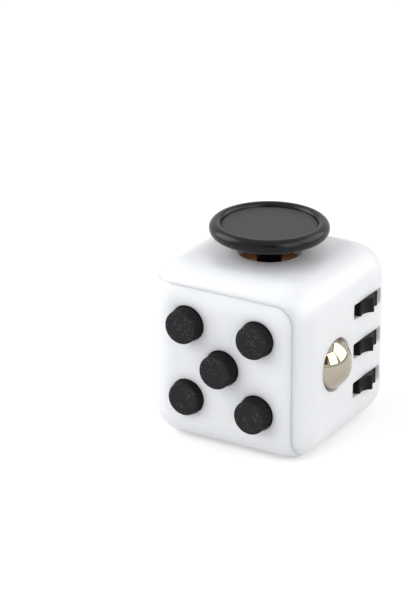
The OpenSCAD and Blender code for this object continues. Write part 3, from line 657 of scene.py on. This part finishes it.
# %% One locating rib
RIB_THICK, RIB_WIDE, RIB_CLEAR, RIB_ROOT = 1.2, 1.1, 0.1, 0.3
RIB_STEPS = 10
CAVITY_R = EDGE_R - WALL
EDGE_AT = HALF / MM - EDGE_R
ROOT_FROM = math.degrees(math.asin((SEAM_AT - EDGE_AT + RIB_CLEAR) / CAVITY_R))


def swept(inner_r, outer_r, start, end):
    """A flat bar spun about Z from one angle to another, as thick as a rib."""
    let_go()
    bpy.ops.mesh.primitive_plane_add(size=1)
    piece = bpy.context.object
    piece.matrix_world = (Matrix.Rotation(math.radians(start), 4, "Z")
                          @ shift_by(((inner_r + outer_r) / 2, 0, 0))
                          @ Matrix.Rotation(math.radians(90), 4, "X")
                          @ Matrix.Diagonal(((outer_r - inner_r) * MM, RIB_THICK * MM, 1, 1)))
    bpy.ops.object.transform_apply(location=True, rotation=True, scale=True)
    bpy.ops.object.mode_set(mode="EDIT")
    bpy.ops.mesh.select_all(action="SELECT")
    bpy.ops.mesh.spin(steps=RIB_STEPS, angle=-math.radians(end - start), center=(0, 0, 0), axis=(0, 0, 1))
    bpy.ops.mesh.select_all(action="SELECT")
    bpy.ops.mesh.normals_make_consistent(inside=False)
    bpy.ops.object.mode_set(mode="OBJECT")
    return piece


rib = swept(CAVITY_R - RIB_WIDE, CAVITY_R - RIB_CLEAR, 0, 90)
combine(rib, swept(CAVITY_R - RIB_WIDE / 2, CAVITY_R + RIB_ROOT, ROOT_FROM, 90), "UNION")
print("one rib has", len(rib.data.polygons), "faces")

# %% [markdown]
# The seam follows six edges of the cube, and each gets two ribs. All twelve are joined first, so that the shell
# is joined to only once.

# %% Twelve ribs
RIB_AT = 3.2
SEAM_EDGES = [(90, 0, -90), (90, 0, 180), (0, 0, -90), (0, 180, 0), (90, 90, 0), (0, 90, 0)]
ribs = []
for angles in SEAM_EDGES:
    for side in (-1, 1):
        placed = bpy.data.objects.new("rib", rib.data.copy())
        bpy.context.scene.collection.objects.link(placed)
        along = shift_by((EDGE_AT, EDGE_AT, side * RIB_AT))
        placed.data.transform(Matrix.Translation(MIDDLE) @ turn_by(angles) @ along)
        ribs.append(placed)
bpy.data.objects.remove(rib)
pick(ribs[0])
for placed in ribs[1:]:
    placed.select_set(True)
bpy.ops.object.join()
combine(rear_half, ribs[0], "UNION")
print(len(ribs), "ribs joined to the rear half")

# %% [markdown]
# Inside, each half carries the posts that its screws go into. They are plain tubes moulded with the wall. A post
# is written as the face it stands behind, its place on that face, its depth, and how deep its pilot hole is.

# %% Screw posts
POST_R, PILOT_R, POST_ROOT = 1.5, 0.83, 0.3
FRONT_POSTS = [("front", at, 5.25, 3.25) for at in ((-7.4, 0, 0), (0, 7.4, 0), (0, -7.4, 0))]
REAR_POSTS = [("top", (x, y, 0), 4.8, 2.8) for x in (-11, 11) for y in (-11, 11)]
for side in (-1, 1):
    REAR_POSTS += [("right", (ball_y, side * 7.15, 0), 8.4155, 3),
                   ("right", (gear_y, side * 11.55, 0), 3.6, 1.6),
                   ("back", (0, side * 8.9, 0), 9.1, 3)]


def post(owner, face, at, depth, pilot):
    """Joins a post to its half and drills it."""
    tube = turned("post", [(POST_R, -depth), (POST_R, -WALL + POST_ROOT)], 40)
    combine(owner, seat(tube, face, at), "UNION")
    hole = turned("pilot", [(PILOT_R, -depth - 1), (PILOT_R, -depth + pilot)], 32)
    combine(owner, seat(hole, face, at), "DIFFERENCE")


for details in FRONT_POSTS:
    post(front_half, *details)
for details in REAR_POSTS:
    post(rear_half, *details)
print(len(FRONT_POSTS) + len(REAR_POSTS), "posts")

# %% [markdown]
# The halves are whole now. They are sealed, and shaded smooth except where two faces meet at more than 16
# degrees. That is less than the rim of the thumb hollow turns, so the rim stays crisp.

# %% Finish the halves
SHELL_SMOOTH = 16
for half_shell, node in ((front_half, "front_shell"), (rear_half, "rear_shell")):
    seal(half_shell)
    smooth(half_shell, SHELL_SMOOTH)
    half_shell.data.materials.clear()
    half_shell.data.materials.append(ABS_WHITE)
    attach(half_shell, "shell")
    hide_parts(node)
print("front half", len(front_half.data.polygons), "faces, rear half", len(rear_half.data.polygons), "faces")

# %% [markdown]
# A button is a short turned cap with a soft-touch coat. Its top is very slightly crowned, and its edge is
# rounded. Behind the wall it has a flange that stops it falling out, and a pusher. The five stand out by
# different amounts, so each cap takes its height from its own part.

# %% Buttons
CAP_R, CAP_EDGE, FLANGE_R, ROLL_R = 3.1, 0.6, 4.0, 0.1
PUSHER_R, PUSHER_END = 1.1, -3.9
FLANGE_BACK, FLANGE_FRONT = -2.8, -2.1
for place in PLACES:
    low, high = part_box("button_" + place)
    rise = (-HALF - low.y) / MM
    centre = (low + high) / 2
    edge_at = rise - CAP_EDGE
    profile = [(PUSHER_R - ROLL_R, PUSHER_END), (PUSHER_R, PUSHER_END + ROLL_R), (PUSHER_R, FLANGE_BACK),
               (FLANGE_R - ROLL_R, FLANGE_BACK), (FLANGE_R, FLANGE_BACK + ROLL_R),
               (FLANGE_R, FLANGE_FRONT - ROLL_R), (FLANGE_R - ROLL_R, FLANGE_FRONT), (CAP_R, FLANGE_FRONT),
               (CAP_R, edge_at)]
    profile += arc((CAP_R - CAP_EDGE, edge_at), CAP_EDGE, 8, 82, 7)
    profile += [(CAP_R - CAP_EDGE - 0.3, rise - 0.004), (1.2, rise - 0.001), (0.4, rise)]
    cap = turned("button_cap_" + place, profile, 72)
    seat(cap, "front", (centre.x / MM, (centre.z - HALF) / MM, 0))
    smooth(cap, 40)
    cap.data.materials.append(CAP_RUBBER)
    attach(cap, "button_" + place)
    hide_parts("button_" + place)
print("five buttons")

# %% [markdown]
# The thumb disc is turned too. Its rim is a fat round bead, and the dish inside it is flat with a fine groove
# where it meets the rim. The stem goes down through the hole to the slider, and is bored for a screw.

# %% Thumb disc
disc_low, disc_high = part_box("glide_disc")
DISC_R = (disc_high.x - disc_low.x) / 2 / MM
RIM_R, DISH_R, DISH_UP = 1.3, 8.7, 0.55
STEM_R, STEM_END, STEM_SHOULDER = 2.25, -3.2, -2.4
DISC_RISE = (disc_high.z - 2 * HALF) / MM - RIM_R
rim_at = DISC_R - RIM_R
dish_at = DISC_RISE + DISH_UP
profile = [(1.5, STEM_END), (1.5, STEM_SHOULDER), (STEM_R, STEM_SHOULDER), (STEM_R, 2.5), (2.4, 2.69),
           (2.85, 2.75), (rim_at - 0.3, DISC_RISE - RIM_R - 0.01)]
profile += arc((rim_at, DISC_RISE), RIM_R, -88, 90, 26)
flank_w, flank_h = rim_at - DISH_R + 0.1, DISC_RISE + RIM_R - dish_at
profile += [(rim_at - flank_w * math.sin(math.radians(a)), dish_at + flank_h * math.cos(math.radians(a)))
            for a in range(10, 90, 10)]
profile += [(DISH_R - 0.1, dish_at - 0.02), (DISH_R - 0.14, dish_at - 0.08), (DISH_R - 0.22, dish_at - 0.08),
            (DISH_R - 0.28, dish_at), (4, dish_at), (0.5, dish_at)]
thumb_disc = turned("thumb_disc", profile, 160)
combine(thumb_disc, turned("bore", [(PILOT_R, STEM_END - 1), (PILOT_R, -0.2)], 32), "DIFFERENCE")
print("disc radius", round(DISC_R, 2), "mm")

# %% [markdown]
# The tool is spark eroded where it forms the dish and polished where it forms the rim, so the disc carries two
# finishes. The faces that look up inside the rim get the duller one.

# %% Rim and dish
seat(thumb_disc, "top")
smooth(thumb_disc, 42)
thumb_disc.data.materials.clear()
thumb_disc.data.materials.append(DISC_ABS)
thumb_disc.data.materials.append(DISH_ABS)
for face in thumb_disc.data.polygons:
    reach = math.hypot(face.center.x, face.center.y) / MM
    level = (face.center.z - 2 * HALF) / MM
    in_dish = reach < DISH_R - 0.27 and level > dish_at - 0.1
    face.material_index = int(face.normal.z > 0.9 and in_dish)
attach(thumb_disc, "glide")
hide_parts("glide_disc")
print(sum(face.material_index for face in thumb_disc.data.polygons), "dull faces in the dish")

# %% [markdown]
# A wheel is a thick disc with ten hollow scallops round its edge, for a fingertip to catch on. The scallops are
# cut by a ring of small cylinders, and then every edge is rolled.

# %% Scalloped wheels
gear_low, gear_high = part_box("gear_middle")
WHEEL_R, SCALLOPS, SCALLOP_DEEP, RIDGE_HALF = 5.2, 10, 0.55, 0.15
AXLE_BORE_R, WHEEL_ROLL, CUT_HIGH = 0.8, 0.14, 2
WHEEL_W = (gear_high.z - gear_low.z) / MM
half_chord = WHEEL_R * math.sin(math.pi / SCALLOPS) - RIDGE_HALF
scallop_r = (half_chord ** 2 + SCALLOP_DEEP ** 2) / (2 * SCALLOP_DEEP)
scallop_at = math.sqrt(WHEEL_R ** 2 - half_chord ** 2) - SCALLOP_DEEP + scallop_r
wheel = turned("wheel", [(WHEEL_R, -WHEEL_W / 2), (WHEEL_R, WHEEL_W / 2)], 160)
for i in range(SCALLOPS):
    angle = 2 * math.pi * (i + 0.5) / SCALLOPS
    cutter = turned("cutter", [(scallop_r, -CUT_HIGH), (scallop_r, CUT_HIGH)], 64)
    cutter.location = (scallop_at * math.cos(angle) * MM, scallop_at * math.sin(angle) * MM, 0)
    combine(wheel, cutter, "DIFFERENCE")
combine(wheel, turned("bore", [(AXLE_BORE_R, -CUT_HIGH), (AXLE_BORE_R, CUT_HIGH)], 48), "DIFFERENCE")
soften(wheel, WHEEL_ROLL, segments=3, angle=32)
print("wheel", len(wheel.data.polygons), "faces")

# %% [markdown]
# The three wheels are alike, so each is a copy of the one just made, with a mesh of its own. A finished piece
# has its place in its mesh and not in its object.

# %% Three wheels in place
for node in WHEELS:
    centre = mid(node)
    copy = bpy.data.objects.new("wheel_" + node.split("_")[1], wheel.data.copy())
    bpy.context.scene.collection.objects.link(copy)
    copy.data.transform(Matrix.Translation(centre))
    copy.data.materials.clear()
    copy.data.materials.append(WHEEL_ABS)
    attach(copy, node)
    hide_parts(node)
bpy.data.objects.remove(wheel)
print("three wheels")

# %% [markdown]
# The rocker on the back is a bar with a shallow V on top, like a light switch. It starts as a cube. A cut across
# its middle gives the V an edge to fold at, and raising the two ends makes the slopes. The lower ends lose their
# corners, which would catch on the wall as it tips.

# %% Rocker blank
ROCKER_W, ROCKER_LONG, ROCKER_TILT = 7.0, 12.0, 9.0
ROCKER_MIDDLE, ROCKER_BASE, BASE_CHAMFER = 4.0, 1.6, 1.0
slope = math.radians(ROCKER_TILT)
end_at = ROCKER_LONG / 2
wing_rise = end_at * math.tan(slope)
let_go()
bpy.ops.mesh.primitive_cube_add(size=1, location=(0, 0, (ROCKER_MIDDLE - ROCKER_BASE) / 2 * MM))
rocker = bpy.context.object
rocker.name = "rocker_switch"
rocker.scale = (ROCKER_W * MM, ROCKER_LONG * MM, (ROCKER_MIDDLE + ROCKER_BASE) * MM)
bpy.ops.object.transform_apply(location=True, rotation=True, scale=True)
bpy.ops.object.mode_set(mode="EDIT")
bpy.ops.mesh.select_mode(type="VERT")
bpy.ops.mesh.select_all(action="SELECT")
bpy.ops.mesh.bisect(plane_co=(0, 0, 0), plane_no=(0, 1, 0))
bpy.ops.mesh.select_all(action="DESELECT")
bpy.ops.object.mode_set(mode="OBJECT")
for corner in rocker.data.vertices:
    corner.select = corner.co.z > 0 and abs(corner.co.y) > MM
bpy.ops.object.mode_set(mode="EDIT")
bpy.ops.transform.translate(value=(0, 0, wing_rise * MM))
bpy.ops.mesh.select_mode(type="EDGE")
bpy.ops.mesh.select_all(action="DESELECT")
bpy.ops.object.mode_set(mode="OBJECT")
for edge in rocker.data.edges:
    a, b = (rocker.data.vertices[v].co for v in edge.vertices)
    edge.select = max(a.z, b.z) < 0 and min(a.y * b.y, abs(a.y)) > MM * MM and abs(a.x - b.x) > MM
bpy.ops.object.mode_set(mode="EDIT")
bpy.ops.mesh.bevel(offset=BASE_CHAMFER * MM, segments=1, affect="EDGES")
bpy.ops.object.mode_set(mode="OBJECT")
print("rocker blank has", len(rocker.data.polygons), "faces")

# %% [markdown]
# Each slope is hollowed by a wide cylinder, as a fingertip would want it. Below, a boss holds the click ball,
# and the pin goes through from side to side.

# %% Rocker hollows and bores
SCOOP_HALF, SCOOP_DEEP = 2.5, 0.2
BOSS_R, BOSS_END = 1.9, -ROCKER_BASE - 3
BALL_BORE_R, BALL_BORE_TOP, PIN_BORE_R = 1.1, -1.3, 0.65
scoop_r = (SCOOP_HALF ** 2 + SCOOP_DEEP ** 2) / (2 * SCOOP_DEEP)
along_x = Matrix.Rotation(math.radians(90), 4, "Y")
for side in (-1, 1):
    scoop = turned("scoop", [(scoop_r, -ROCKER_W), (scoop_r, ROCKER_W)], 200)
    lift = scoop_r - SCOOP_DEEP
    scoop_y = side * (end_at / 2 - lift * math.sin(slope))
    scoop_z = ROCKER_MIDDLE + wing_rise / 2 + lift * math.cos(slope)
    scoop.matrix_world = shift_by((0, scoop_y, scoop_z)) @ along_x
    combine(rocker, scoop, "DIFFERENCE")
combine(rocker, turned("boss", [(BOSS_R, BOSS_END), (BOSS_R, -ROCKER_BASE + 1)], 48), "UNION")
ball_bore = turned("ball_bore", [(BALL_BORE_R, BOSS_END - 1), (BALL_BORE_R, BALL_BORE_TOP)], 48)
combine(rocker, ball_bore, "DIFFERENCE")
pin_bore = turned("pin_bore", [(PIN_BORE_R, -ROCKER_W), (PIN_BORE_R, ROCKER_W)], 32)
pin_bore.matrix_world = along_x
combine(rocker, pin_bore, "DIFFERENCE")
print("rocker bored,", len(rocker.data.polygons), "faces")

# %% [markdown]
# The edges are rolled. The fold of the V turns too little for the shading to keep it, so it is marked sharp. At
# rest the rocker lies to one side, so it is tipped before it is seated.

# %% Rocker in place
ROCKER_SINK, ROCKER_ROLL = 3.1, 0.22
soften(rocker, ROCKER_ROLL, segments=3, angle=26)
for edge in rocker.data.edges:
    ends = [rocker.data.vertices[v].co for v in edge.vertices]
    edge.use_edge_sharp |= all(abs(end.y) < 0.01 * MM and end.z > 3 * MM for end in ends)
rocker.matrix_world = Matrix.Rotation(-slope, 4, "X")
seat(rocker, "back", (0, 0, -ROCKER_SINK))
rocker.data.materials.clear()
rocker.data.materials.append(WHEEL_ABS)
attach(rocker, "rocker")
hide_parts("rocker")
print("rocker", len(rocker.data.polygons), "faces")

# %% [markdown]
# The dial on the left is turned like the disc: a flat knob with a rounded edge, on a hub that goes through the
# wall. A ball pressed in beside its middle leaves the dimple that a fingertip turns it by.

# %% Dial
DIAL_R, DIAL_RISE, DIAL_EDGE, DIAL_UNDER, DIAL_ROLL = 7.7, 1.6, 0.7, 0.7, 0.12
HUB_R, HUB_END, HUB_CHAMFER, UNDER_CHAMFER, DIAL_BORE_DEEP = 2.4, 2.6, 0.1, 0.15, 3.2
DIMPLE_AT, DIMPLE_R, DIMPLE_BALL = 4.1, 2.8, 4.4
profile = [(HUB_R - HUB_CHAMFER, -HUB_END), (HUB_R, -HUB_END + HUB_CHAMFER), (HUB_R, -DIAL_UNDER),
           (DIAL_R - UNDER_CHAMFER, -DIAL_UNDER), (DIAL_R, -DIAL_UNDER + UNDER_CHAMFER),
           (DIAL_R, DIAL_RISE - DIAL_EDGE)]
profile += arc((DIAL_R - DIAL_EDGE, DIAL_RISE - DIAL_EDGE), DIAL_EDGE, 8, 90, 8)
profile += [(1, DIAL_RISE)]
dial = turned("dial_knob", profile, 128)
let_go()
ball_up = DIAL_RISE + math.sqrt(DIMPLE_BALL ** 2 - DIMPLE_R ** 2)
bpy.ops.mesh.primitive_uv_sphere_add(segments=96, ring_count=48, radius=DIMPLE_BALL * MM,
                                     location=(0, DIMPLE_AT * MM, ball_up * MM))
combine(dial, bpy.context.object, "DIFFERENCE")
soften(dial, DIAL_ROLL, segments=2, angle=28)
screw_bore = turned("screw_bore", [(PILOT_R, -HUB_END - 1), (PILOT_R, -HUB_END + DIAL_BORE_DEEP)], 32)
combine(dial, screw_bore, "DIFFERENCE")
smooth(dial)
seat(dial, "left")
dial.data.materials.clear()
dial.data.materials.append(WHEEL_ABS)
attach(dial, "dial")
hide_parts("dial")
print("dial", len(dial.data.polygons), "faces")

# %% [markdown]
# The stage is a plain pale floor and a white world. The background is white because both are bright to the eye,
# in mirrors and through glass, and not because more light falls on the cube. Light Path says which kind of ray
# is asking. The floor only gains a little, so that the cube's shadow still shows on it.

# %% Floor
FLOOR_WIDE, FLOOR_LIFT = 3, 0.36


def seen_directly(tree):
    """An output that is 1 for what the camera sees, in mirrors and through glass too, and else 0."""
    ray = add_node(tree, "ShaderNodeLightPath")
    seen = add_node(tree, "ShaderNodeMath", {"operation": "MAXIMUM"},
                    links={0: ray.outputs["Is Camera Ray"], 1: ray.outputs["Is Glossy Ray"]})
    seen_too = add_node(tree, "ShaderNodeMath", {"operation": "MAXIMUM"},
                        links={0: seen.outputs[0], 1: ray.outputs["Is Transmission Ray"]})
    return seen_too.outputs[0]


bpy.ops.object.select_all(action="DESELECT")
bpy.ops.mesh.primitive_plane_add(size=FLOOR_WIDE, location=(0, 0, 0))
floor = bpy.context.object
floor.name = "floor"
floor_finish, tree, shader, _ = new_finish("white_paper_sweep")
shader.inputs["Base Color"].default_value = linear("#dedede")
shader.inputs["Roughness"].default_value = 0.9
shader.inputs["Emission Color"].default_value = linear("#ffffff")
floor_glow = add_node(tree, "ShaderNodeMath", {"operation": "MULTIPLY"}, {1: FLOOR_LIFT},
                      {0: seen_directly(tree)})
tree.links.new(floor_glow.outputs[0], shader.inputs["Emission Strength"])
floor.data.materials.append(floor_finish)
print("floor laid")

# %% [markdown]
# The world is the light that comes from the walls of the room. It is weak for the cube, so that the lamps can
# model it, and white for the eye.

# %% World
AMBIENT = 0.41
world = bpy.data.worlds.new("studio")
bpy.context.scene.world = world
world.use_nodes = True
sky = world.node_tree
sky_strength = add_node(sky, "ShaderNodeMapRange", values={"To Min": AMBIENT, "To Max": 1.0},
                        links={"Value": seen_directly(sky)})
backdrop = sky.nodes["Background"]
backdrop.inputs["Color"].default_value = linear("#ffffff")
sky.links.new(sky_strength.outputs["Result"], backdrop.inputs["Strength"])
bpy.context.scene.view_settings.view_transform = "Standard"
print("world lit")

# %% [markdown]
# The lamps are soft boxes: wide panels close to the table, so that the light creeps under the thumb disc and
# keeps its shadow soft. A lamp's own face is hidden from mirrors here, so that its light and its looks can be
# set apart from each other. Two without a card come first, in front and nearly overhead, and lift the shadows.

# %% Soft lamps
BOX_AWAY, BOX_HIGH = 0.45, 0.46


def facing(azimuth, elevation, away):
    """Where a panel stands that faces the cube. Azimuth 0 is the front and 90 the right, in degrees."""
    a, e = math.radians(azimuth), math.radians(elevation)
    out = Vector((math.sin(a) * math.cos(e), -math.cos(a) * math.cos(e), math.sin(e)))
    return Matrix.Translation(MIDDLE + away * out) @ out.to_track_quat("Z", "Y").to_matrix().to_4x4()


def soft_lamp(name, azimuth, elevation, size, power, away=BOX_AWAY):
    """A rectangular lamp that faces the middle of the cube."""
    data = bpy.data.lights.new(name, "AREA")
    data.shape = "RECTANGLE"
    data.size, data.size_y = size
    data.energy = power
    lamp = bpy.data.objects.new(name, data)
    bpy.context.scene.collection.objects.link(lamp)
    lamp.matrix_world = facing(azimuth, elevation, away)
    lamp.visible_camera = False
    lamp.visible_glossy = False


soft_lamp("front_fill", -20, 33, (0.35, 0.35), 0.96, 0.55)
soft_lamp("top_fill", 180, 77, (0.35, 0.35), 0.25)
print("two fill lamps")

# %% [markdown]
# Polished steel shows the room. What it shows here are the lit faces of the soft boxes, the black cloth round
# their edges, and the dark end of the room behind the camera. Each is a card that is seen in reflections alone
# and throws no shadow. The cloth is cotton: dull, and a brownish black. The lit faces are white nylon, warm by a
# hair.

# %% Cards
CLOTH_WIDE, CLOTH_NEARER = 0.026, 0.005


def card_finish(name, colour, glow=0):
    """A dull finish; one with a glow is the lit face of a soft box."""
    made, _, shader, _ = new_finish(name)
    shader.inputs["Base Color"].default_value = linear(colour)
    shader.inputs["Roughness"].default_value = 0.95
    shader.inputs["Specular IOR Level"].default_value = 0
    shader.inputs["Emission Color"].default_value = linear("#fff8ea")
    shader.inputs["Emission Strength"].default_value = glow
    return made


def card(name, finish, azimuth, elevation, size, away, border=0):
    """A card, or with a border only the edge of one, that shows in reflections alone."""
    let_go()
    bpy.ops.mesh.primitive_plane_add(size=1)
    piece = bpy.context.object
    piece.name = name
    piece.scale = (size[0] + border, size[1] + border, 1)
    bpy.ops.object.transform_apply(location=True, rotation=True, scale=True)
    if border:
        bpy.ops.object.mode_set(mode="EDIT")
        bpy.ops.mesh.select_mode(type="FACE")
        bpy.ops.mesh.select_all(action="SELECT")
        bpy.ops.mesh.inset(thickness=border)
        bpy.ops.mesh.delete(type="FACE")
        bpy.ops.object.mode_set(mode="OBJECT")
    piece.matrix_world = facing(azimuth, elevation, away)
    pick(piece)
    bpy.ops.object.transform_apply(location=True, rotation=True, scale=True)
    piece.data.materials.append(finish)
    for way in ("camera", "diffuse", "transmission", "volume_scatter", "shadow"):
        setattr(piece, "visible_" + way, False)


# %% [markdown]
# Two soft boxes stand to the right of the cube, edge to edge, and one to the left. Each is written as its
# azimuth, elevation, size, lamp power, and the glow of its face.

# %% Soft boxes
BLACK_CLOTH = card_finish("black_cotton_cloth", "#1c1713")
DARK_ROOM = card_finish("dark_studio", "#8a6a55")
SOFT_BOXES = {"box_front_right": (70, 27, (0.335, BOX_HIGH), 0.56, 2.9),
              "box_rear_right": (126.5, 28, (0.55, 0.48), 0.69, 2.9),
              "box_left": (-72, 27, (0.4, BOX_HIGH), 1.1, 4.5)}
for name, (azimuth, elevation, size, power, glow) in SOFT_BOXES.items():
    soft_lamp(name, azimuth, elevation, size, power)
    card(name + "_face", card_finish(name + "_white", "#ffffff", glow), azimuth, elevation, size, BOX_AWAY)
    card(name + "_cloth", BLACK_CLOTH, azimuth, elevation, size, BOX_AWAY - CLOTH_NEARER, CLOTH_WIDE)
card("dark_camera", DARK_ROOM, 30, 26, (0.32, 0.4), 0.6)
print("stage ready,", len(SOFT_BOXES), "soft boxes")
